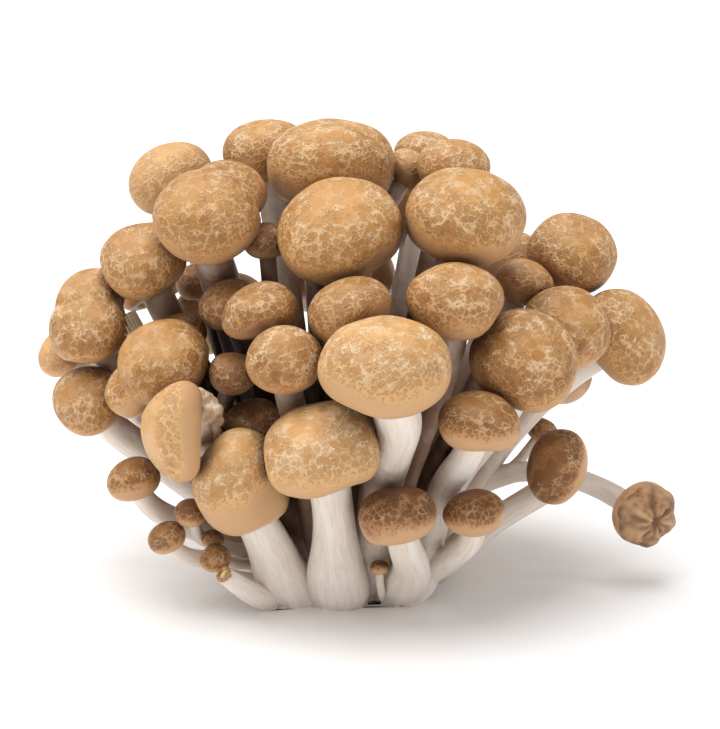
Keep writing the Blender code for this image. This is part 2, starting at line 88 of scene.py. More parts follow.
# %% A small way to write materials
class Wire:
    """One output of a node, which Python sums can be written with."""

    def __init__(self, board, socket):
        self.board = board
        self.socket = socket

    def maths(self, operation, first, second):
        return self.board.add("ShaderNodeMath", {"operation": operation}, {0: first, 1: second})

    def __add__(self, other):
        return self.maths("ADD", self, other)

    def __radd__(self, other):
        return self.maths("ADD", other, self)

    def __sub__(self, other):
        return self.maths("SUBTRACT", self, other)

    def __rsub__(self, other):
        return self.maths("SUBTRACT", other, self)

    def __mul__(self, other):
        return self.maths("MULTIPLY", self, other)

    def __rmul__(self, other):
        return self.maths("MULTIPLY", other, self)

    def most(self, other):
        return self.maths("MAXIMUM", self, other)

    def step(self, low, high):
        """0 up to low, 1 from high on, and smooth between them. Low may be the larger."""
        settings = {"interpolation_type": "SMOOTHSTEP"}
        if low > high:
            ends = {"From Min": high, "From Max": low, "To Min": 1.0, "To Max": 0.0}
        else:
            ends = {"From Min": low, "From Max": high, "To Min": 0.0, "To Max": 1.0}
        return self.board.add("ShaderNodeMapRange", settings, {"Value": self, **ends})


class Board:
    """The nodes of one material."""

    def __init__(self, name):
        self.material = bpy.data.materials.new(name)
        self.material.use_nodes = True
        self.tree = self.material.node_tree
        self.shader = self.tree.nodes["Principled BSDF"]

    def plug(self, socket, value):
        if isinstance(value, Wire):
            self.tree.links.new(value.socket, socket)
        else:
            socket.default_value = value

    def add(self, kind, settings=None, inputs=None, output=0):
        node = self.tree.nodes.new(kind)
        for key, value in (settings or {}).items():
            setattr(node, key, value)
        for key, value in (inputs or {}).items():
            self.plug(node.inputs[key], value)
        return Wire(self, node.outputs[output])

    def finish(self, **sockets):
        """Plugs values and wires into the shader, by the names of its sockets with _ for a blank."""
        for key, value in sockets.items():
            self.plug(self.shader.inputs[key.replace("_", " ")], value)
        return self.material

    def let_light_in(self, weight, radii, depth):
        """Light goes into the surface, to a depth in metres for each of red, green and blue."""
        settings = {"Weight": weight, "Radius": radii, "Scale": depth}
        for key, value in settings.items():
            self.plug(self.shader.inputs["Subsurface " + key], value)

    def place(self):
        return self.add("ShaderNodeTexCoord", output="Object")

    def attribute(self, name, output="Fac"):
        return self.add("ShaderNodeAttribute", {"attribute_name": name}, output=output)

    def noise(self, place, size, detail=2.0, output=0):
        """Cloudy noise with lumps of about a size in metres."""
        inputs = {"Vector": place, "Scale": 1 / size, "Detail": detail}
        return self.add("ShaderNodeTexNoise", None, inputs, output)

    def cells(self, place, size, feature="DISTANCE_TO_EDGE", output="Distance"):
        """Cells of about a size in metres."""
        inputs = {"Vector": place, "Scale": 1 / size}
        return self.add("ShaderNodeTexVoronoi", {"feature": feature}, inputs, output)

    def blend(self, share, first, second):
        """A mix of two colours, which are sockets 6 and 7 of the Mix node and come out at its output 2."""
        return self.add("ShaderNodeMix", {"data_type": "RGBA"}, {0: share, 6: first, 7: second}, 2)

    def shifted(self, place, wobble, reach):
        """A place moved about by a noise colour, by up to half a reach in metres."""
        kind = "ShaderNodeVectorMath"
        centred = self.add(kind, {"operation": "SUBTRACT"}, {0: wobble, 1: (0.5, 0.5, 0.5)})
        scaled = self.add(kind, {"operation": "SCALE"}, {0: centred, "Scale": reach})
        return self.add(kind, {"operation": "ADD"}, {0: place, 1: scaled})

    def bump(self, height, depth):
        """A normal that follows a height from 0 to 1, as deep as a depth in metres."""
        return self.add("ShaderNodeBump", None, {"Height": height, "Distance": depth, "Strength": 1.0})


def colour(red, green, blue):
    """A screen colour, 0 to 255, as the linear colour that shaders use."""
    shares = [part / 255 for part in (red, green, blue)]
    linear = [share / 12.92 if share < 0.04 else ((share + 0.055) / 1.055) ** 2.4 for share in shares]
    return (*linear, 1.0)


print("materials can be written")

# %% [markdown]
# The skin of a cap. As a cap grows, its skin cracks into a net of pale scars. Round the crown the patches
# between them are broad, ochre and smooth. Down the sides they are small, then only brown specks, and the
# rim is plain. Old caps are tan and young ones dark brown. Each corner of a cap carries four numbers for
# this: `edge` runs from 0 at the crown to 1 at the rim, `tone` says how dark the cap is, `scar` how thick
# its pale scars are, and the fourth how deep the corner lies among the others, which sets its painted shade.
# The patches are the middles of Voronoi cells of three sizes, bent by noise, and the cracks are the places
# close to a cell's edge.

# %% Where the skin has its patches, net and scars
BROAD_CELL = 2.8 * MM
MIDDLE_CELL = 1.40 * MM
FINE_CELL = 0.70 * MM

skin = Board("mushroom skin")
place = skin.place()
edge = skin.attribute("edge")
tone = skin.attribute("tone")
scar = skin.attribute("scar")
hidden = skin.attribute("hidden")
drift = skin.noise(place, 5 * MM, 1.0)
zone = edge + (drift - 0.5) * 0.5
warped = skin.shifted(place, skin.noise(place, 1.3 * MM, 2.0, "Color"), 1.3 * MM)
fine_warp = skin.shifted(place, skin.noise(place, 0.5 * MM, 1.0, "Color"), 0.45 * MM)
ragged = skin.noise(place, 0.45 * MM, 2.0)
patchy = skin.noise(place, 3.2 * MM, 1.0)

spread = skin.add("ShaderNodeSeparateColor", None, {0: skin.cells(fine_warp, MIDDLE_CELL, "F1", "Color")})
broad_spread = skin.add("ShaderNodeSeparateColor", None, {0: skin.cells(warped, BROAD_CELL, "F1", "Color")})

# One smooth patch on the crown, then some of the broad cells, then the middle ones and the specks.
crown_patch = zone.step(0.05, -0.02) * 0.55
chosen = broad_spread.step(0.34, 0.36)
broad = skin.cells(warped, BROAD_CELL, "F1").step(0.52, 0.44) * chosen * zone.step(0.50, 0.36)
middle_edge = skin.cells(fine_warp, MIDDLE_CELL)
middle = skin.cells(fine_warp, MIDDLE_CELL, "F1").step(0.56, 0.44) * middle_edge.step(0.05, 0.15)
middle = middle * zone.step(0.64, 0.42)
fine = skin.cells(fine_warp, FINE_CELL, "F1").step(0.52, 0.26) * zone.step(0.82, 0.50)
islands = crown_patch.most(broad).most(middle * 0.85).most(fine * 0.8) * (0.80 + ragged * 0.4)

# The net is what the patches leave free, and the scars are thick where the noise says so.
cracks = middle_edge.step(0.07, 0.0) * zone.step(-0.04, 0.05) * zone.step(0.56, 0.40)
netted = zone.step(0.80, 0.46)
net = (1 - islands) * netted
thick = patchy.step(0.44, 0.56) * zone.step(0.42, 0.20)
print("the places on the skin take", len(skin.tree.nodes), "nodes")

# %% [markdown]
# The colours of the skin. The tan and the brown skin are painted side by side, and `tone`
# mixes them. Over that come the tint of the palest caps, the scars, the cream rim, and the shade between
# caps that stand close.

# %% Cap skin colours
TAN = colour(184, 126, 62)
TAN_CROWN = colour(202, 146, 74)
TAN_DARK = colour(158, 106, 54)
TAN_FLANK = colour(194, 150, 104)
TAN_NET = colour(219, 171, 112)
BROWN = colour(116, 74, 43)
BROWN_DARK = colour(82, 48, 27)
BROWN_FLANK = colour(204, 162, 122)
BROWN_NET = colour(168, 117, 74)
PALE_SCAR = colour(238, 212, 174)
CREAM = colour(212, 184, 150)
PALE_CAP = colour(226, 190, 148)
# SHADED_SKIN is the colour of the painted shade between caps that stand close.
SHADED_SKIN = colour(80, 45, 24)

tan = skin.blend(zone.step(0.30, 0.04), TAN, TAN_CROWN)
tan = skin.blend(spread.step(0.3, 1.0) * zone.step(0.0, 0.12) * 0.5, tan, TAN_DARK)
brown = skin.blend(spread.step(0.2, 1.0) * zone.step(0.0, 0.15) * 0.6, BROWN, BROWN_DARK)
patch_colour = skin.blend(tone, tan, brown)
net_colour = skin.blend(tone, TAN_NET, BROWN_NET)
flank_colour = skin.blend(tone, TAN_FLANK, BROWN_FLANK)
ground = skin.blend(netted, flank_colour, net_colour)
painted = skin.blend(islands, ground, patch_colour)
painted = skin.blend(tone.step(0.12, 0.0) * 0.24, painted, PALE_CAP)
painted = skin.blend(scar * thick * (1 - islands * 0.9) * 0.75, painted, PALE_SCAR)
painted = skin.blend(cracks * (0.45 + scar * 0.4) * patchy.step(0.30, 0.55), painted, PALE_SCAR)
painted = skin.blend(edge.step(0.95, 1.0), painted, CREAM)
# Painted shade: skin that lies deep among the other caps is painted dark brown, and so is the stray cap, all
# over and more in its folds.
painted = skin.blend(hidden.step(0.35, 1.0) * 0.70, painted, SHADED_SKIN)

relief = net * 0.6 + cracks * 0.4 + ragged * zone.step(0.9, 0.5) * 0.3
skin.let_light_in(0.10, (1.0, 0.55, 0.3), 1.0 * MM)
skin_material = skin.finish(
    Base_Color=painted,
    Roughness=0.44 + net * 0.12,
    Specular_IOR_Level=0.35,
    Normal=skin.bump(relief, 0.26 * MM),
)
print("the cap skin has", len(skin.tree.nodes), "nodes")

# %% [markdown]
# Gills are the thin blades under a cap, from the stem to the rim. They are a plain cream, so a simple finish
# with a little cloudy noise does.

# %% Gill finish
GILL_SHADE = colour(226, 204, 172)
GILL_CREAM = colour(238, 222, 196)

gill = Board("gill flesh")
gill_cloud = gill.noise(gill.place(), 1.5 * MM, 3.0)
gill_colour = gill.blend(gill_cloud.step(0.3, 0.7), GILL_SHADE, GILL_CREAM)
gill.let_light_in(0.15, (1.0, 0.7, 0.5), 1.0 * MM)
gill_material = gill.finish(Base_Color=gill_colour, Roughness=0.6)
print("the gill finish is ready")

# %% [markdown]
# Where the flat solid of a cap has its crown and its stem. The solids are turned profiles with a point at
# the crown and one in the hollow underneath, and all the ribs of the surface meet in these two points. So
# they are found by counting the edges that meet in each corner: no other corner has as many. A crown bulges
# out and the hollow goes in, which tells the two apart.

# %% Find the crowns
FEWEST_RIBS = 8  # the smallest caps have so many
TWIN_RIBS = 10  # a crown or hollow of a wider cap has at least so many
CROWN_TO_HOLLOW = 1.5  # from the crown to the point of the hollow, in half heights
CROWN_TO_RIM = 1.97  # from the crown to the lowest of the rim, in half heights
TWIN_PLUMPNESS = 0.60  # half the height of a cap that grew into another, as a share of its radius


def edit_all():
    """Goes into edit mode on the active piece, with all of it selected."""
    bpy.ops.object.mode_set(mode="EDIT")
    bpy.ops.mesh.select_all(action="SELECT")


def merged_copy(name, piece_name):
    """A new object with a solid's mesh, its doubled corners merged, selected and active."""
    bpy.ops.object.select_all(action="DESELECT")
    mesh = nodes[name].data.copy()
    mesh.materials.clear()
    piece = bpy.data.objects.new(piece_name, mesh)
    bpy.context.scene.collection.objects.link(piece)
    bpy.context.view_layer.objects.active = piece
    piece.select_set(True)
    if mesh.has_custom_normals:
        bpy.ops.mesh.customdata_custom_splitnormals_clear()
    edit_all()
    bpy.ops.mesh.remove_doubles(threshold=0.01 * MM)
    bpy.ops.object.mode_set(mode="OBJECT")
    return piece


def find_poles(mesh):
    """The crown points and the hollow points of a cap: each a place and the way it faces."""
    corners = bmesh.new()
    corners.from_mesh(mesh)
    corners.normal_update()
    found = []
    for vert in corners.verts:
        spokes = [other.co - vert.co for other in (link.other_vert(vert) for link in vert.link_edges)]
        if len(spokes) < FEWEST_RIBS:
            continue
        lengths = [spoke.length for spoke in spokes]
        mean = sum(lengths) / len(lengths)
        spread_out = sum((length - mean) ** 2 for length in lengths) / len(lengths)
        uneven = math.sqrt(spread_out) / mean
        bulge = -sum(spoke.normalized().dot(vert.normal) for spoke in spokes) / len(spokes)
        found.append((len(spokes), -uneven, vert.co.copy(), vert.normal.copy(), bulge))
    corners.free()
    found.sort(key=lambda pole: pole[:2], reverse=True)
    crowns = [pole for pole in found if pole[4] > 0]
    hollows = [pole for pole in found if pole[4] <= 0]
    return crowns, hollows


class CapShape:
    """The main sizes of one cap: crown, direction, radius and half height."""

    def __init__(self, crown, hollow, corners):
        self.crown = crown
        self.axis = (crown - hollow).normalized()
        self.half_height = (crown - hollow).length / CROWN_TO_HOLLOW
        self.centre = crown - self.axis * self.half_height
        wide = []
        for corner in corners:
            offset = corner - self.centre
            wide.append((offset - self.axis * offset.dot(self.axis)).length)
        wide.sort()
        self.radius = wide[-max(1, len(wide) // 8)]  # where the widest eighth of the corners begins
        self.hollow = hollow

    def edge_at(self, point):
        """How far down from the crown a point is: 0 at the crown, 1 at the lowest of the rim."""
        return (self.crown - point).dot(self.axis) / (CROWN_TO_RIM * self.half_height)


cap_names = [name for name in sorted(nodes) if name != "base_and_stems"]
shapes = {}
for name in cap_names:
    flat = merged_copy(name, "measuring " + name)
    crowns, hollows = find_poles(flat.data)
    most = max(pole[0] for pole in crowns + hollows)
    crowns = [pole for pole in crowns if pole[0] >= min(most, TWIN_RIBS)]
    hollows = [pole for pole in hollows if pole[0] >= min(most, TWIN_RIBS)]
    corners = [vert.co.copy() for vert in flat.data.vertices]
    found = []
    for hollow in hollows[:2]:
        crown = min(crowns, key=lambda pole: abs((pole[2] - hollow[2]).normalized().dot(-hollow[3]) - 1))
        found.append(CapShape(crown[2], hollow[2], corners))
    if len(crowns) > 1 and most > FEWEST_RIBS:
        for shape in found:
            shape.radius = min(shape.radius, shape.half_height / TWIN_PLUMPNESS)
    shapes[name] = found
    print(name, most, len(crowns), len(hollows), [round(shape.radius / MM, 1) for shape in found])
    bpy.data.objects.remove(flat)

# %% [markdown]
# How deep a place lies among the caps and stems. From a corner of a mesh, feelers go out over the half of the
# room that it faces, and what counts is the share of them that meets a solid close by. Both materials paint
# shade by this number: skin and flesh that little light would come to are painted darker. The ways of the
# feelers are spread evenly over a ball, along a spiral.

# %% Feel what stands close
HIDDEN_REACH = 24 * MM  # what is farther off than this hides nothing
HIDDEN_START = 0.5 * MM
SKIN_STEP = 0.01 * MM  # a feeler that started inside a solid goes on from just outside it
HIDDEN_EVERY = 5  # one corner in so many is felt out, and all take the mean of the nearest felt ones
FELT_NEIGHBOURS = 4
FEELERS_OUT = 14
FEELER_LEAN = 1.02  # just over 1, so that no feeler runs along the surface


def all_solids():
    """Every solid in one search tree, to feel what stands in the way."""
    corners = []
    faces = []
    for node in nodes.values():
        start = len(corners)
        corners += [vert.co.copy() for vert in node.data.vertices]
        faces += [[start + corner for corner in face.vertices] for face in node.data.polygons]
    return BVHTree.FromPolygons(corners, faces)


solids_about = all_solids()
feelers = []
for k in range(FEELERS_OUT):
    level = 1 - 2 * (k + 0.5) / FEELERS_OUT
    turn = k * math.pi * (3 - math.sqrt(5))
    flat_part = math.sqrt(1 - level * level)
    feelers.append(Vector((flat_part * math.cos(turn), flat_part * math.sin(turn), level)))


def hidden_shares(mesh):
    """For every corner of a mesh, how much of what it faces is close by: 0 in the open, 1 deep inside."""
    felt = KDTree(len(mesh.vertices) // HIDDEN_EVERY + 1)
    shares = []
    for vert in list(mesh.vertices)[::HIDDEN_EVERY]:
        start = vert.co + vert.normal * HIDDEN_START
        near = 0
        for feeler in feelers:
            way = (vert.normal * FEELER_LEAN + feeler).normalized()
            hit, facing, _, far = solids_about.ray_cast(start, way, HIDDEN_REACH)
            if hit and facing.dot(way) > 0:
                hit = solids_about.ray_cast(hit + way * SKIN_STEP, way, HIDDEN_REACH - far)[0]
            near += hit is not None
        felt.insert(vert.co, len(shares))
        shares.append(near / FEELERS_OUT)
    felt.balance()
    whole = []
    for vert in mesh.vertices:
        found = felt.find_n(vert.co, FELT_NEIGHBOURS)
        whole.append(sum(shares[number] for _, number, _ in found) / len(found))
    return whole


print(len(feelers), "feelers go out from a corner")

# %% [markdown]
# A gill fan. One blade is a plane that is drawn out from the stem to the rim, thickened, and turned round
# the stem into a whole fan with the spin tool. The fan is made once, for a cap with a radius and a half
# height of 1, and each cap gets its own copy.

# %% Gill fan
# Blades reach from the stem to the rim, in radii, and hang from the cap's flesh, in half heights.
BLADES = 40
BLADE_INNER = 0.34
BLADE_OUTER = 0.66
BLADE_TOP = -0.44
BLADE_EDGE = -0.62  # the free edge at the stem, and BLADE_SAG is how much lower it gets
BLADE_SAG = 0.30
BLADE_THICKNESS = 0.016

bpy.ops.object.select_all(action="DESELECT")
bpy.ops.mesh.primitive_plane_add(size=1, rotation=(math.pi / 2, 0, 0))
fan = bpy.context.object
fan.name = "gill fan"
bpy.ops.object.transform_apply(location=True, rotation=True, scale=True)
edit_all()
bpy.ops.mesh.subdivide(number_cuts=2)
blade = bmesh.from_edit_mesh(fan.data)
for vert in blade.verts:
    along = vert.co.x + 0.5
    down = 0.5 - vert.co.z
    reach = BLADE_INNER + (BLADE_OUTER - BLADE_INNER) * along
    free_edge = BLADE_EDGE - BLADE_SAG * math.sin(math.pi * 0.5 * min(1, along * 1.5))
    vert.co = Vector((reach, 0, BLADE_TOP + (free_edge - BLADE_TOP) * down))
bmesh.update_edit_mesh(fan.data)
bpy.ops.object.mode_set(mode="OBJECT")
wall = fan.modifiers.new("wall", "SOLIDIFY")
wall.thickness = BLADE_THICKNESS
wall.offset = 0
bpy.ops.object.modifier_apply(modifier=wall.name)
edit_all()
bpy.ops.mesh.spin(
    steps=BLADES, dupli=True, angle=2 * math.pi, use_normal_flip=False, center=(0, 0, 0), axis=(0, 0, 1)
)
bpy.ops.mesh.select_all(action="SELECT")
bpy.ops.mesh.remove_doubles(threshold=0.0001)
bpy.ops.mesh.normals_make_consistent(inside=False)
bpy.ops.object.mode_set(mode="OBJECT")
print("the fan has", len(fan.data.polygons), "faces")

# %% [markdown]
# What the photograph shows of each cap: how dark it is, how thick its scars are, where its pattern sits and
# where its neighbours have pushed it out of round. The caps that it doesn't show follow their slot.

# %% Looks of the single caps
# How dark a cap is, from 0 to 1, and how thick its pale scars are.
LOOKS = {
    "pin_front": (1.0, 0.0),
    "cap_front_low": (0.03, 1.0),
    "cap_front_broad": (0.05, 0.8),
    "cap_front_leaning": (0.04, 1.0),
    "cap_left_sideways": (0.03, 0.3),
    "cap_front_brown": (0.85, 0.1),
    "cap_right_lowest": (0.85, 0.1),
    "cap_right_tipped": (0.80, 0.1),
    "cap_stray_lobed": (1.0, 0.0),
    "cap_right_low": (0.62, 0.2),
    "cap_front_dark": (0.70, 0.1),
    "cap_left_inner": (0.75, 0.1),
    "cap_centre_low": (0.42, 0.6),
    "cap_centre_left": (0.50, 0.4),
    "cap_centre_left_rear": (0.66, 0.1),
    "cap_centre_shaded": (0.50, 0.2),
    "cap_left_hidden": (0.60, 0.1),
    "cap_inner_upper": (0.75, 0.1),
    "cap_inner_left": (0.70, 0.0),
    "cap_left_small": (0.58, 0.1),
    "cap_right_small": (0.75, 0.0),
    "cap_left_low": (0.36, 0.4),
    "cap_left_broad": (0.32, 0.4),
    "cap_left_front": (0.38, 0.4),
    "cap_left_high": (0.32, 0.3),
    "cap_upper_left": (0.28, 0.2),
    "cap_top_left": (0.02, 0.1),
    "cap_top_rear_left": (0.18, 0.6),
    "cap_top": (0.16, 0.5),
    "cap_upper_front": (0.16, 0.4),
    "cap_top_rear_right": (0.24, 0.7),
    "cap_top_right": (0.26, 0.5),
    "cap_top_wedged": (0.0, 0.0),
    "cap_upper_right": (0.20, 0.6),
    "cap_right_high": (0.36, 0.4),
    "cap_right_outer": (0.26, 0.5),
    "cap_right_rear": (0.34, 0.4),
    "cap_right_broad": (0.40, 0.5),
    "cap_right_centre": (0.30, 0.5),
    "cap_right_shaded": (0.36, 0.2),
    "cap_left_rim": (0.0, 0.0),
}
# Caps whose skin pattern sits off their crown, towards a side seen from the front: right, up, towards us.
PATTERN_SHIFTS = {
    "cap_right_tipped": (0.30, -0.20, -0.1),
    "cap_left_sideways": (0.30, 0.0, -0.05),
    "cap_front_brown": (0.0, -0.10, 0.05),
    "cap_right_lowest": (0.0, -0.10, 0.05),
    "cap_right_low": (0.05, -0.10, 0.05),
    "cap_front_leaning": (0.10, -0.14, 0.0),
    "cap_left_small": (0.0, -0.16, 0.05),
}
# Where a cap isn't round: a place from its middle and a push, both in millimetres seen from the front as
# right, up and towards us, and how far round the place the push reaches.
PUSHES = {
    "cap_left_sideways": [
        ((2, -9, 0), (2.6, -0.4, 0), 9),
        ((2, 9, 0), (1.9, 0.5, 0), 7),
        ((-4, -6, 2), (1.4, 0, 0), 6),
    ],
    "cap_front_leaning": [
        ((8, -6, 4), (-1.2, 1.6, 0), 6),
        ((0, -10, 4), (0, 1.0, 0), 7),
        ((-7, 6, 4), (1.5, -0.6, 0), 6),
        ((9, 1, 4), (-1.0, 0, 0), 6),
    ],
    "cap_front_low": [
        ((-8, -8, 4), (-1.2, -1.1, 0), 6),
        ((10, -5, 4), (1.0, -1.0, 0), 6),
        ((6, -10, 4), (0, 1.0, 0), 5),
    ],
    "cap_centre_left": [((0, -5, 5), (0, 1.3, 0), 5), ((-6, -3, 3), (-0.6, -1.0, 0), 4)],
    "cap_centre_shaded": [((6, -4, 4), (-0.8, 1.4, 0), 5), ((7, 3, 4), (0.8, 0.6, 0), 4)],
    "cap_upper_front": [((9, -8, 5), (-1.2, 1.2, 0), 6), ((10, 3, 4), (0.6, 0, 0), 7)],
    "cap_front_broad": [((10, -7, 5), (0.6, 0.9, 0), 6), ((-10, -6, 5), (0.4, 0.9, 0), 6)],
    "cap_right_broad": [((0, -9, 5), (0.8, -0.8, 0), 6), ((-8, 4, 5), (0.7, 0, 0), 6)],
    "cap_upper_left": [((-5, -6, 4), (0.8, 0.6, 0), 5)],
    "cap_front_brown": [((0, 6, 3), (0.3, -0.6, 0), 6), ((-5, -5, 4), (-0.6, -0.6, 0), 4)],
    "cap_right_low": [((0, -7, 4), (0, 0.8, 0), 6), ((8, -4, 3), (0.7, -0.3, 0), 4)],
}
SLOT_LOOKS = {"cap_pale": (0.12, 0.5), "cap_tan": (0.30, 0.3), "cap_brown": (0.75, 0.1)}
SLOTS = {part["node"]: part["material_slot"] for part in frame["record"]["subparts"]}
print(len(LOOKS), "caps have looks of their own")

# %% [markdown]
# The caps. Each one starts as a copy of its solid. Its triangles become squares again, and a subdivision
# surface rounds it off. That draws a shape in a little, so it is first made larger by as much. Then it is
# pushed out of round and made slightly lumpy, the numbers that the skin reads are written into the mesh, and
# the gill fan is joined on underneath. The stray cap has no net: it is lobed and puckered instead.

# %% Make the caps
VIEW_RIGHT = Vector((1, 0, 0))
VIEW_UP = Vector((0, math.sin(VIEW_ELEVATION), math.cos(VIEW_ELEVATION)))
PUSH_END = 1.6  # a push is over at so many times its reach
LUMP_SIZE = 7 * MM
LUMP_HEIGHT = 0.45 * MM
SQUARE_ANGLE = math.radians(60)  # triangles that bend less than this become squares
WIDE_CAP = 8.4 * MM  # the solids of wider caps have 12 ribs
NARROW_CAP = 4.5 * MM  # and those of caps up to this radius 8
GROWN = {12: 1.034, 10: 1.044, 8: 1.066}  # how much a ring of so many corners is drawn in by rounding off
SMALL_CAP = 5.5 * MM  # caps up to this radius get fewer faces
RIM_EDGE = 0.93  # the rim stays where it is, however far the pattern is shifted
PLAIN_EDGE = 0.72  # puts the plain skin of a flank all over the stray cap

# The stray cap's wrinkles, with their depths and widths as shares of its radius.
PIT_DEPTH = 0.20
PIT_WIDTH = 0.13
FOLDS_AT = 0.40  # how far out from the crown the folds are deepest
FOLDS = ((0.045, 0.3, 5, 2.2), (0.035, 0.25, 11, 3.0))  # depth, width, number and twist
WRINKLE_DEPTH = 0.07
WRINKLE_SIZE = 1.3 * MM
LOBES = 6
LOBE_DEPTH = 0.055
LOBE_TURN = 0.8
# Painted shade on the stray cap: LEVEL_SHADE darkens all of it, and its folds and its pit are painted darker
# still.
LEVEL_SHADE = 0.68  # how dark the cap is where it is level, and DEPTH_SHADE is how fast folds darken
DEPTH_SHADE = 5.4
PIT_SHADE = 0.8


def write_numbers(mesh, **values):
    """Adds a number to every corner of a mesh, for materials to read."""
    for key, numbers in values.items():
        layer = mesh.attributes.new(key, "FLOAT", "POINT")
        layer.data.foreach_set("value", numbers)


def from_front(right, up, near):
    """A step in the room from one that is given as it looks from the front."""
    return VIEW_RIGHT * right + VIEW_UP * up + to_camera * near


def shove(piece, middle, pushes):
    """Pushes parts of a cap in or out, each fading out softly round its place."""
    for place, push, reach in pushes:
        target = middle + from_front(*place) * MM
        step = from_front(*push) * MM
        for vert in piece.data.vertices:
            far = (vert.co - target).length / (reach * MM)
            if far < PUSH_END:
                vert.co += step * math.exp(-far * far)


def make_uneven(piece):
    """Gives a cap the slight lumps of a grown thing."""
    ways_out = [vert.normal.copy() for vert in piece.data.vertices]
    for vert, way_out in zip(piece.data.vertices, ways_out):
        vert.co += way_out * noise.noise(vert.co / LUMP_SIZE) * LUMP_HEIGHT


def pucker(piece, shape):
    """Wrinkles the stray cap, and gives each corner a painted shade from 0 to 1: some all over, more in its
    folds and its pit.
    """
    side = shape.axis.orthogonal().normalized()
    other = shape.axis.cross(side)
    depths = [0.0] * len(piece.data.vertices)
    for vert in piece.data.vertices:
        offset = vert.co - shape.centre
        around = math.atan2(offset.dot(other), offset.dot(side))
        wide = (offset - shape.axis * offset.dot(shape.axis)).length / shape.radius
        if offset.dot(shape.axis) < 0:
            continue
        pit = PIT_DEPTH * math.exp(-((wide / PIT_WIDTH) ** 2))
        folds = 0
        for depth, width, number, twist in FOLDS:
            fade = math.exp(-(((wide - FOLDS_AT) / width) ** 2))
            folds += depth * fade * math.cos(number * around + twist * wide)
        wrinkle = WRINKLE_DEPTH * noise.noise(vert.co / WRINKLE_SIZE)
        shade = LEVEL_SHADE + DEPTH_SHADE * (pit * PIT_SHADE - folds - wrinkle)
        depths[vert.index] = min(1, max(0, shade))
        vert.co -= shape.axis * (pit - folds - wrinkle) * shape.radius
        vert.co += (vert.co - shape.centre) * LOBE_DEPTH * math.cos(LOBES * around + LOBE_TURN)
    return depths


def round_off(cap, middle, radius):
    """Makes a cap's triangles squares and rounds them off, at the size that the solid has."""
    sides = 12 if radius > WIDE_CAP else 10 if radius > NARROW_CAP else 8
    edit_all()
    bpy.ops.mesh.tris_convert_to_quads(face_threshold=SQUARE_ANGLE, shape_threshold=SQUARE_ANGLE)
    bpy.ops.transform.resize(value=(GROWN[sides],) * 3, center_override=middle)
    bpy.ops.object.mode_set(mode="OBJECT")
    rounding = cap.modifiers.new("rounding", "SUBSURF")
    rounding.levels = 3 if radius > SMALL_CAP else 2
    rounding.render_levels = rounding.levels
    bpy.ops.object.modifier_apply(modifier=rounding.name)


def edge_numbers(cap, found, shift):
    """How far down from the crown each corner is, with the pattern shifted, but not the rim."""
    edges = []
    for vert in cap.data.vertices:
        down = min(shape.edge_at(vert.co) for shape in found)
        moved = down + shift.dot(vert.co - found[0].centre)
        edges.append(down if down > RIM_EDGE else min(moved, RIM_EDGE))
    return edges


def make_gills(shape, middle, pushes):
    """The gill fan of one cap, set under it and pushed the way that the cap is."""
    turn = shape.axis.to_track_quat("Z", "Y").to_matrix().to_4x4()
    size = Matrix.Diagonal((shape.radius, shape.radius, shape.half_height, 1))
    gills = bpy.data.objects.new("gills", fan.data.copy())
    bpy.context.scene.collection.objects.link(gills)
    gills.data.transform(Matrix.Translation(shape.centre) @ turn @ size)
    shove(gills, middle, pushes)
    gills.data.materials.append(skin_material)
    gills.data.materials.append(gill_material)
    gills.data.polygons.foreach_set("material_index", [1] * len(gills.data.polygons))
    return gills


def make_cap(name):
    """One finished cap from its solid."""
    found = shapes[name]
    slot = SLOTS[name]
    pushes = PUSHES.get(name, [])
    cap = merged_copy(name, "cap_fine_" + name.replace("cap_", ""))
    middle = sum((shape.centre for shape in found), Vector()) / len(found)
    round_off(cap, middle, found[0].radius)
    shift = from_front(*PATTERN_SHIFTS.get(name, (0, 0, 0))) / found[0].radius
    edges = edge_numbers(cap, found, shift)
    hidden = hidden_shares(cap.data)
    shove(cap, middle, pushes)
    make_uneven(cap)
    if name == "cap_stray_lobed":
        # The stray cap's painted shade follows its folds and pit instead of its neighbours.
        hidden = pucker(cap, found[0])
        edges = [PLAIN_EDGE] * len(edges)
    shade, scars = LOOKS.get(name, SLOT_LOOKS[slot])
    tones = [shade] * len(edges)
    write_numbers(cap.data, edge=edges, tone=tones, scar=[scars] * len(edges), hidden=hidden)
    cap.data.materials.append(skin_material)
    cap.data.materials.append(gill_material)
    for shape in found:
        make_gills(shape, middle, pushes).select_set(True)
    cap.select_set(True)
    bpy.context.view_layer.objects.active = cap
    bpy.ops.object.join()
    bpy.ops.object.shade_smooth_by_angle(angle=SMOOTH_ANGLE)
    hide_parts(name)
    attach(cap, "root")
    return cap


caps = [make_cap(name) for name in cap_names]
bpy.data.objects.remove(fan)
print(len(caps), "caps,", sum(len(cap.data.polygons) for cap in caps), "faces")

# %% [markdown]
# The stems. In the solid they are tubes with five to eight flat sides, and all of them are joined. To round
# them, each stem is followed from its cap down to the base: feelers go out sideways from its middle to its
# walls, which gives the next middle and the thickness. Where a stem runs into its neighbours near the foot,
# too few feelers meet a wall, and the line heads for the middle of the base and keeps its thickness.

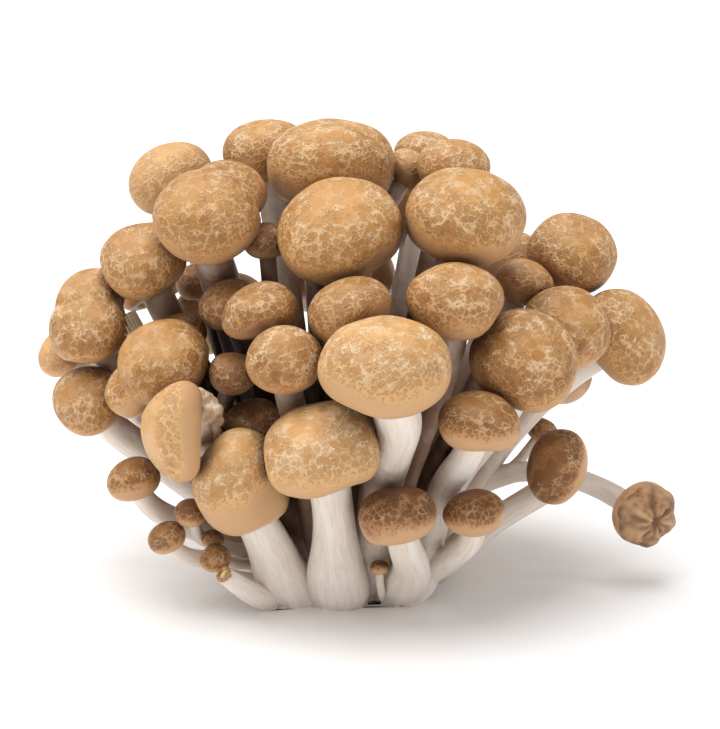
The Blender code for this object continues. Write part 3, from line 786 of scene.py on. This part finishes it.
# %% Follow the stems
FEELERS = 20  # round a stem
FEWEST_WALLS = 8  # feelers that have to meet a wall for a stem to be measured
SHORTEST_STEP = 0.5 * MM
LONGEST_STEP = 1.4 * MM
LONGEST_STEM = 130  # in steps
TOP_STEP = 0.3 * MM  # the top of a stem is looked for in such steps down from the hollow
TOP_STEPS_SKIPPED = 3
TOP_STEPS = 22
FIRST_RADIUS = 0.45  # as a share of the cap's radius, until the stem is measured
FEEL_REACH = 1.5  # how far feelers go, in radii
FIRST_FEEL_REACH = 2.0
CENTRING = 1.2  # how far a place moves towards the middle between the walls
CENTRING_ROUNDS = 2
FIRST_CENTRING_ROUNDS = 6
LOW_HEIGHT = 1.15  # below so many radii a stem only heads for the ground
SMOOTHING_ROUNDS = 8
PLUG_DEPTH = 0.25  # how far a stem goes into its cap, as a share of the cap's half height
LOOK_ANGLES = (0.3, 0.7, 1.1)  # how far aside the looks ahead go
DEEPEST = -1.2 * MM  # stems run on this far below the cut, until the base is cut flat
UPRIGHT = Vector((0.0009, 0.0012, 1)).normalized()  # a little aslant, so that it meets no edge
WALL_STEP = 0.0001 * MM  # a ray goes on from so far behind the wall that it met

solid_stems = merged_copy("base_and_stems", "measuring stems")
walls = BVHTree.FromPolygons(
    [vert.co for vert in solid_stems.data.vertices],
    [polygon.vertices for polygon in solid_stems.data.polygons],
)
bpy.data.objects.remove(solid_stems)


def is_inside(point):
    """Whether a point is inside the solid stems: a ray from it leaves through an odd number of walls."""
    crossed = 0
    start = point
    while True:
        hit = walls.ray_cast(start, UPRIGHT)[0]
        if hit is None:
            return crossed % 2 == 1
        crossed += 1
        start = hit + UPRIGHT * WALL_STEP


def ring_of_directions(heading, angle, count):
    """Directions all round a heading, at an angle to it."""
    side = heading.orthogonal().normalized()
    other = heading.cross(side)
    turns = [2 * math.pi * k / count for k in range(count)]
    return [
        heading * math.cos(angle) + (side * math.cos(turn) + other * math.sin(turn)) * math.sin(angle)
        for turn in turns
    ]


def feel_walls(middle, heading, reach):
    """The walls round a place inside a stem, each as a direction and a distance."""
    met = []
    for out in ring_of_directions(heading, math.pi / 2, FEELERS):
        distance = walls.ray_cast(middle, out, reach)[3]
        if distance is not None:
            met.append((out, distance))
    return met


def look_ahead(middle, heading, radius):
    """The way on along a stem: the mean of the directions ahead, those with most room counting most."""
    farthest = 4 * radius
    way = Vector()
    for angle in LOOK_ANGLES:
        for out in ring_of_directions(heading, angle, FEELERS // 2):
            distance = walls.ray_cast(middle, out, farthest)[3]
            way += out * ((farthest if distance is None else distance) / farthest) ** 2
    return way.normalized()


def find_stem_top(shape):
    """The first place below the hollow of a cap that is inside its stem, or nothing."""
    for step in range(TOP_STEPS_SKIPPED, TOP_STEPS):
        point = shape.hollow - shape.axis * step * TOP_STEP
        if is_inside(point):
            return point - shape.axis * TOP_STEP
    return None


def turned_home(middle, heading, nearness, share):
    """A heading turned by a share towards the ground, aiming at a spot nearer to the middle of the base."""
    home = Vector((middle.x * nearness, middle.y * nearness, DEEPEST * 2)) - middle
    return (heading * (1 - share) + home.normalized() * share).normalized()


def follow_stem(shape):
    """The middles and radii of a stem, from just under its cap down to below the cut."""
    heading = -shape.axis
    middle = find_stem_top(shape)
    radius = shape.radius * FIRST_RADIUS
    line = []
    while middle.z > DEEPEST and len(line) < LONGEST_STEM:
        low = middle.z < radius * LOW_HEIGHT
        reach = FEEL_REACH if line else FIRST_FEEL_REACH
        rounds = 0 if low else CENTRING_ROUNDS if line else FIRST_CENTRING_ROUNDS
        for _ in range(rounds):
            met = feel_walls(middle, heading, radius * reach)
            if len(met) < FEWEST_WALLS:
                break
            mean = sum(distance for _, distance in met) / len(met)
            drift = sum((out * (distance - mean) for out, distance in met), Vector())
            middle = middle + drift * (CENTRING / FEELERS)
        if low:
            heading = turned_home(middle, heading, 0.92, 0.3)
        elif len(met) >= FEWEST_WALLS:
            radius = radius * 0.6 + mean * 0.4 if line else mean
            heading = (heading * 0.5 + look_ahead(middle, heading, radius) * 0.5).normalized()
        else:
            heading = turned_home(middle, heading, 0.6, 0.1)
        line.append((middle.copy(), radius))
        middle = middle + heading * max(SHORTEST_STEP, min(LONGEST_STEP, radius * 0.5))
    line.append((Vector((middle.x, middle.y, DEEPEST * 2)), radius))
    return line


def smoothed(line, rounds):
    """A line of middles and radii with the jumps between neighbours evened out."""
    for _ in range(rounds):
        inner = [
            (
                line[k][0] * 0.5 + (line[k - 1][0] + line[k + 1][0]) * 0.25,
                line[k][1] * 0.5 + (line[k - 1][1] + line[k + 1][1]) * 0.25,
            )
            for k in range(1, len(line) - 1)
        ]
        line = [line[0], *inner, line[-1]]
    return line


stem_lines = {}
for name in cap_names:
    shape = next(shape for shape in shapes[name] if find_stem_top(shape))
    line = smoothed(follow_stem(shape), SMOOTHING_ROUNDS)
    plug = (shape.hollow + shape.axis * PLUG_DEPTH * shape.half_height, line[0][1])
    stem_lines[name] = [plug, *line]
print(len(stem_lines), "stems are followed")

# %% [markdown]
# A stem is drawn as a curve with a round section. The curve has a thickness at each point, so it swells at
# the foot as the real ones do. Turned into a mesh, its skin is given long low ridges, because a mushroom's
# stem is a bundle of fibres. Each corner also stores its place in the bundle: round the stem, and along it
# but drawn together to a tenth. Any pattern that reads this place runs in streaks along the stem.

# %% Draw the stems
STEM_SIDES = 20
RIDGE_HEIGHT = 0.045  # as a share of the radius
BROAD_RIDGE = 1.3 * MM
FINE_RIDGE = 0.6 * MM
FINE_RIDGE_SHARE = 0.6  # how high the fine ridges are beside the broad ones
ALONG_SHARE = 0.10
BEND_ROUNDS = 6
STEM_SHIFT = (17 * MM, 5 * MM)  # keeps the streaks of one stem from being those of the next

# The stub whose cap broke off, low at the left, and the short stem of the knobbly growth above it: middles
# and radii in millimetres.
STUB = [
    ((-12.5, -20.5, -3), 2.6),
    ((-14.5, -23.5, 1.6), 2.5),
    ((-18.6, -28.4, 4.9), 2.2),
    ((-22.8, -33.0, 10.0), 1.75),
]
GROWTH_STEM = [
    ((-15, -14, 18), 1.6),
    ((-20, -19, 28), 1.6),
    ((-25, -25, 36), 1.9),
    ((-26.5, -26.8, 40), 1.5),
]


def rounded_line(points):
    """A line through a few points in millimetres, with more points between them and its bends rounded."""
    line = []
    for (start, near), (end, far) in zip(points, points[1:]):
        for share in (0, 0.25, 0.5, 0.75):
            radius = (near + (far - near) * share) * MM
            line.append((Vector(start).lerp(Vector(end), share) * MM, radius))
    line.append((Vector(points[-1][0]) * MM, points[-1][1] * MM))
    return smoothed(line, BEND_ROUNDS)


def draw_stem(name, line, number):
    """A round tube along a line, with ridges and the place in its fibres."""
    bpy.ops.object.select_all(action="DESELECT")
    bpy.ops.curve.primitive_nurbs_path_add()
    stem = bpy.context.object
    stem.name = "stem of " + name
    path = stem.data.splines[0]
    path.points.add(len(line) - len(path.points))
    for point, (middle, radius) in zip(path.points, line):
        point.co = (*middle, 1)
        point.radius = radius
    path.order_u = 3
    path.use_endpoint_u = True
    path.resolution_u = 2
    stem.location = (0, 0, 0)
    stem.data.bevel_depth = 1
    stem.data.bevel_resolution = STEM_SIDES // 2 - 2
    stem.data.use_fill_caps = True
    bpy.ops.object.convert(target="MESH")
    edit_all()
    bpy.ops.mesh.remove_doubles(threshold=0.001 * MM)
    bpy.ops.mesh.normals_make_consistent(inside=False)
    bpy.ops.object.mode_set(mode="OBJECT")
    mesh = stem.data
    rings = [mesh.vertices[k : k + STEM_SIDES] for k in range(0, len(mesh.vertices), STEM_SIDES)]
    middles = [sum((vert.co for vert in ring), Vector()) / len(ring) for ring in rings]
    along = 0
    fibre = []
    for k, ring in enumerate(rings):
        along += (middles[k] - middles[max(k - 1, 0)]).length
        for n, vert in enumerate(ring):
            angle = 2 * math.pi * n / STEM_SIDES
            out = vert.co - middles[k]
            place = Vector((math.cos(angle), math.sin(angle), 0)) * out.length
            place.z = along * ALONG_SHARE
            place += Vector((number * STEM_SHIFT[0], number * STEM_SHIFT[1], 0))
            fibre.append(place)
            ridge = noise.noise(place / BROAD_RIDGE) + FINE_RIDGE_SHARE * noise.noise(place / FINE_RIDGE)
            vert.co += out * ridge * RIDGE_HEIGHT
    layer = mesh.attributes.new("fibre", "FLOAT_VECTOR", "POINT")
    layer.data.foreach_set("vector", [number for place in fibre for number in place])
    return stem


lines = {**stem_lines, "stub": rounded_line(STUB), "growth": rounded_line(GROWTH_STEM)}
drawn = []
for number, (name, line) in enumerate(lines.items()):
    drawn.append(draw_stem(name, line, number))
print(len(drawn), "stems,", sum(len(stem.data.polygons) for stem in drawn), "faces")

# %% [markdown]
# The finish of the flesh. Stems are a warm white, a little see-through, with fine lengthwise streaks of cream
# and faint grey-brown. Deep inside the cluster painted shade turns them brown, and near black in the deepest
# gaps, by how much stands close round them.

# %% Flesh finish
WHITE_FLESH = colour(241, 232, 223)
CREAM_FLESH = colour(231, 217, 201)
STREAK_FLESH = colour(208, 186, 164)
# Painted shade: flesh among the stems and under the caps is painted brown, and the deepest gaps near black.
SHADED_FLESH = colour(150, 110, 82)
DEEP_SHADE_FLESH = colour(46, 27, 16)

flesh = Board("mushroom flesh")
strand = flesh.attribute("fibre", "Vector")
painted_flesh_shade = flesh.attribute("hidden")
streaks = flesh.noise(strand, 0.45 * MM, 3.0)
broad_streaks = flesh.noise(strand, 1.6 * MM, 2.0)
blotches = flesh.noise(flesh.place(), 6 * MM, 2.0)
flesh_colour = flesh.blend(broad_streaks.step(0.36, 0.66) * 0.8, WHITE_FLESH, CREAM_FLESH)
flesh_colour = flesh.blend(streaks.step(0.50, 0.72) * 0.35, flesh_colour, STREAK_FLESH)
flesh_colour = flesh.blend(blotches.step(0.50, 0.75) * 0.3, flesh_colour, CREAM_FLESH)
# Painted shade, by how shut in the flesh is.
flesh_colour = flesh.blend(painted_flesh_shade.step(0.41, 0.80) * 0.9, flesh_colour, SHADED_FLESH)
flesh_colour = flesh.blend(painted_flesh_shade.step(0.70, 1.0), flesh_colour, DEEP_SHADE_FLESH)
flesh.let_light_in(0.15, (1.0, 0.6, 0.35), 1.2 * MM)
flesh_material = flesh.finish(
    Base_Color=flesh_colour,
    Roughness=0.42 + streaks * 0.12,
    Specular_IOR_Level=0.42,
    Normal=flesh.bump(streaks * 0.6 + broad_streaks * 0.4, 0.08 * MM),
)
print("the flesh finish has", len(flesh.tree.nodes), "nodes")

# %% [markdown]
# The base. The stems grow out of one lump of flesh, cut off flat. The lump is a ball pressed flat, mostly
# hidden among the feet of the stems. All stems and the ball are joined into one skin with a Boolean union,
# which leaves the sharp creases where real stems press against each other. Joining muddles the stored places
# in the fibres, so afterwards each corner takes the place of the nearest corner among the single stems.

# %% Join the stems
BALL_MIDDLE = (0, 0, 3 * MM)
BALL_REACH = (18.5 * MM, 15.5 * MM, 11 * MM)
BALL_LUMP_SIZE = 4 * MM
BALL_LUMP_HEIGHT = 0.8 * MM

bpy.ops.object.select_all(action="DESELECT")
bpy.ops.mesh.primitive_uv_sphere_add(segments=48, ring_count=24, radius=1, location=BALL_MIDDLE)
base = bpy.context.object
base.name = "flesh_fine"
base.scale = BALL_REACH
bpy.ops.object.transform_apply(location=True, rotation=True, scale=True)
for vert in base.data.vertices:
    vert.co += vert.co.normalized() * noise.noise(vert.co / BALL_LUMP_SIZE) * BALL_LUMP_HEIGHT

lookup = KDTree(sum(len(stem.data.vertices) for stem in drawn))
places = []
for stem in drawn:
    for vert, stored in zip(stem.data.vertices, stem.data.attributes["fibre"].data):
        lookup.insert(vert.co, len(places))
        places.append(stored.vector.copy())
lookup.balance()

bundle = bpy.data.collections.new("stems to join")
bpy.context.scene.collection.children.link(bundle)
for stem in drawn:
    stem.users_collection[0].objects.unlink(stem)
    bundle.objects.link(stem)
joint = base.modifiers.new("joint", "BOOLEAN")
joint.operation = "UNION"
joint.operand_type = "COLLECTION"
joint.collection = bundle
joint.solver = "MANIFOLD"
bpy.ops.object.select_all(action="DESELECT")
bpy.context.view_layer.objects.active = base
base.select_set(True)
bpy.ops.object.modifier_apply(modifier=joint.name)
for stem in drawn:
    bpy.data.objects.remove(stem)
bpy.data.collections.remove(bundle)
print("the joined flesh has", len(base.data.polygons), "faces")

# %% [markdown]
# The cut, the painted shade and the feet. A bisect throws away all that is below the table and closes the
# hole.
# How dark the painted shade on the flesh is goes by two things together: the share of feelers that meet
# something, and how near a place is to the heart of the cluster. The feet of the stems are drawn in a little
# towards the cut, because real ones are round there.

# %% Cut the base flat
# Painted shade: the flesh is painted darker near this heart and where many feelers meet something.
HEART = Vector((0, 0, 45)) * MM  # the middle of the cluster, where the flesh is darkest
HEART_REACH = (58 * MM, 48 * MM, 45 * MM)
HEART_SHARE = 0.9  # how much nearness to the heart counts, and FELT_SHARE how much the feelers do
FELT_SHARE = 0.56
FOOT_ROUND = 3.2 * MM  # up to this height the feet draw in towards the cut
FOOT_IN = 1.3 * MM

edit_all()
bpy.ops.mesh.bisect(plane_co=(0, 0, 0), plane_no=(0, 0, 1), use_fill=True, clear_inner=True)
bpy.ops.object.mode_set(mode="OBJECT")
fibre = [number for vert in base.data.vertices for number in places[lookup.find(vert.co)[1]]]
base.data.attributes["fibre"].data.foreach_set("vector", fibre)
shut = []
for vert, share in zip(base.data.vertices, hidden_shares(base.data)):
    offset = vert.co - HEART
    outward = math.sqrt(sum((part / reach) ** 2 for part, reach in zip(offset, HEART_REACH)))
    shut.append(min(1, share * FELT_SHARE + max(0, 1 - outward) * HEART_SHARE))
flat_ways = [Vector((vert.normal.x, vert.normal.y, 0)) for vert in base.data.vertices]
for vert, flat_way in zip(base.data.vertices, flat_ways):
    low = max(0, 1 - vert.co.z / FOOT_ROUND)
    vert.co -= flat_way * low * low * FOOT_IN
write_numbers(base.data, hidden=shut)
print("flesh shut in, on average", round(sum(shut) / len(shut), 2))
bpy.ops.object.shade_smooth_by_angle(angle=math.radians(50))
base.data.materials.clear()
base.data.materials.append(flesh_material)
base.data.polygons.foreach_set("material_index", [0] * len(base.data.polygons))
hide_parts("base_and_stems")
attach(base, "root")
print("the flesh has", len(base.data.polygons), "faces")

# %% [markdown]
# The broken stem ends in a ring: bruised brown flesh round a core of yellow-green pith.

# %% Ring on the broken stem
STUB_END = Vector(STUB[-1][0]) * MM
STUB_WAY = (STUB_END - Vector(STUB[-2][0]) * MM).normalized()
RING_RADIUS = 1.25 * MM
RING_THICKNESS = 0.42 * MM
RING_LIFT = 0.1 * MM
PITH_RADIUS = 0.62 * MM
PITH_FLATNESS = 0.5


def cloudy_finish(name, cloud_size, first, second):
    """A plain finish in two colours that change over from one to the other in small clouds."""
    board = Board(name)
    cloud = board.noise(board.place(), cloud_size, 2.0)
    return board.finish(Base_Color=board.blend(cloud.step(0.4, 0.65), first, second), Roughness=0.5)


bruise = cloudy_finish("bruised ring", 0.7 * MM, colour(158, 102, 62), colour(196, 144, 96))
pith = cloudy_finish("green pith", 0.5 * MM, colour(232, 214, 140), colour(196, 178, 96))
bpy.ops.object.select_all(action="DESELECT")
bpy.ops.mesh.primitive_torus_add(
    major_segments=32, minor_segments=12, major_radius=RING_RADIUS, minor_radius=RING_THICKNESS
)
ring = bpy.context.object
ring.name = "stub_ring"
ring.data.materials.append(bruise)
bpy.ops.mesh.primitive_uv_sphere_add(segments=24, ring_count=12, radius=PITH_RADIUS, location=(0, 0, 0))
core = bpy.context.object
core.scale = (1, 1, PITH_FLATNESS)
bpy.ops.object.transform_apply(location=True, rotation=True, scale=True)
core.data.materials.append(pith)
ring.select_set(True)
bpy.context.view_layer.objects.active = ring
bpy.ops.object.join()
turn = STUB_WAY.to_track_quat("Z", "Y").to_matrix().to_4x4()
ring.data.transform(Matrix.Translation(STUB_END + STUB_WAY * RING_LIFT) @ turn)
bpy.ops.object.shade_smooth_by_angle(angle=SMOOTH_ANGLE)
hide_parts("base_and_stems")
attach(ring, "root")
print("the ring has", len(ring.data.polygons), "faces")

# %% [markdown]
# The knobbly growth beside the sideways cap, at the left: cream flesh that never made a cap. It is a heap of
# small balls. A voxel remesh melts them into one skin, and noise along the normals makes it gnarled.

# %% Knobbly growth
# The middle and radius of each ball, in millimetres.
GROWTH_LUMPS = [
    (-27.2, -26.5, 43.8, 1.9),
    (-25.3, -27.0, 41.1, 2.2),
    (-27.6, -27.5, 39.4, 2.0),
    (-25.0, -26.0, 37.0, 1.7),
    (-28.2, -26.5, 36.5, 2.2),
    (-25.6, -25.6, 43.0, 1.6),
    (-27.0, -25.6, 41.6, 1.9),
    (-26.2, -25.2, 38.6, 2.0),
    (-26.6, -25.6, 35.2, 1.7),
    (-23.9, -26.0, 39.2, 1.2),
]
GROWTH_CREAM = colour(238, 216, 190)
GROWTH_TAN = colour(208, 172, 138)
GROWTH_VOXEL = 0.22 * MM
GNARL_SIZES = (1.5 * MM, 0.7 * MM)
GNARL_HEIGHTS = (0.55 * MM, 0.22 * MM)

bpy.ops.object.select_all(action="DESELECT")
lumps = []
for x, y, z, radius in GROWTH_LUMPS:
    place = Vector((x, y, z)) * MM
    bpy.ops.mesh.primitive_ico_sphere_add(subdivisions=3, radius=radius * MM, location=place)
    lumps.append(bpy.context.object)
for lump in lumps:
    lump.select_set(True)
bpy.ops.object.join()
growth = bpy.context.object
growth.name = "knobbly_growth"
bpy.ops.object.transform_apply(location=True, rotation=True, scale=True)
melt = growth.modifiers.new("melt", "REMESH")
melt.mode = "VOXEL"
melt.voxel_size = GROWTH_VOXEL
bpy.ops.object.modifier_apply(modifier=melt.name)
ways_out = [vert.normal.copy() for vert in growth.data.vertices]
for vert, way_out in zip(growth.data.vertices, ways_out):
    swell = 0
    for gnarl_size, gnarl_height in zip(GNARL_SIZES, GNARL_HEIGHTS):
        swell += noise.noise(vert.co / gnarl_size) * gnarl_height
    vert.co += way_out * swell
even = growth.modifiers.new("even", "SMOOTH")
even.factor = 0.5
even.iterations = 3
bpy.ops.object.modifier_apply(modifier=even.name)
bpy.ops.object.shade_smooth_by_angle(angle=SMOOTH_ANGLE)

lumpy = Board("growth flesh")
lumpy_cloud = lumpy.noise(lumpy.place(), 1.6 * MM, 2.0)
lumpy_fine = lumpy.noise(lumpy.place(), 0.4 * MM, 2.0)
lumpy_colour = lumpy.blend(lumpy_cloud.step(0.35, 0.65), GROWTH_CREAM, GROWTH_TAN)
lumpy_bump = lumpy.bump(lumpy_fine, 0.12 * MM)
lumpy.let_light_in(0.2, (1.0, 0.8, 0.4), 1.2 * MM)
growth.data.materials.append(lumpy.finish(Base_Color=lumpy_colour, Roughness=0.5, Normal=lumpy_bump))
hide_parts("base_and_stems")
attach(growth, "root")
print("the growth has", len(growth.data.polygons), "faces")

# %% [markdown]
# The studio. A white floor runs on far behind the cluster, so that no edge shows. The light is one wide, soft
# sun high above, a little to the left and behind, and the air all round is white, which keeps the shadows
# pale.

# %% Floor, lamp and air
FLOOR_SIZE = 8
LAMP_STRENGTH = 2.75
LAMP_WIDTH = math.radians(64)
LAMP_FROM = Vector((-0.28, 0.12, 1))
AIR_STRENGTH = 0.66

bpy.ops.object.select_all(action="DESELECT")
bpy.ops.mesh.primitive_plane_add(size=FLOOR_SIZE, location=(0, 0, 0))
floor = bpy.context.object
floor.name = "floor"
paper = Board("white paper")
grain = paper.noise(paper.place(), 3 * MM, 2.0)
paper_colour = paper.blend(grain * 0.3, colour(250, 250, 250), colour(244, 244, 245))
floor.data.materials.append(paper.finish(Base_Color=paper_colour, Roughness=0.8))

bpy.ops.object.light_add(type="SUN", location=(-0.3, -0.3, 0.6))
lamp = bpy.context.object
lamp.name = "soft lamp"
lamp.data.energy = LAMP_STRENGTH
lamp.data.angle = LAMP_WIDTH
lamp.rotation_euler = LAMP_FROM.to_track_quat("Z", "Y").to_euler()

air = bpy.data.worlds.new("white air")
air.use_nodes = True
air.node_tree.nodes["Background"].inputs["Color"].default_value = (1, 1, 1, 1)
air.node_tree.nodes["Background"].inputs["Strength"].default_value = AIR_STRENGTH
bpy.context.scene.world = air
bpy.context.scene.view_settings.view_transform = "Standard"
bpy.context.scene.view_settings.look = "None"
print("the lamp's strength is", lamp.data.energy)
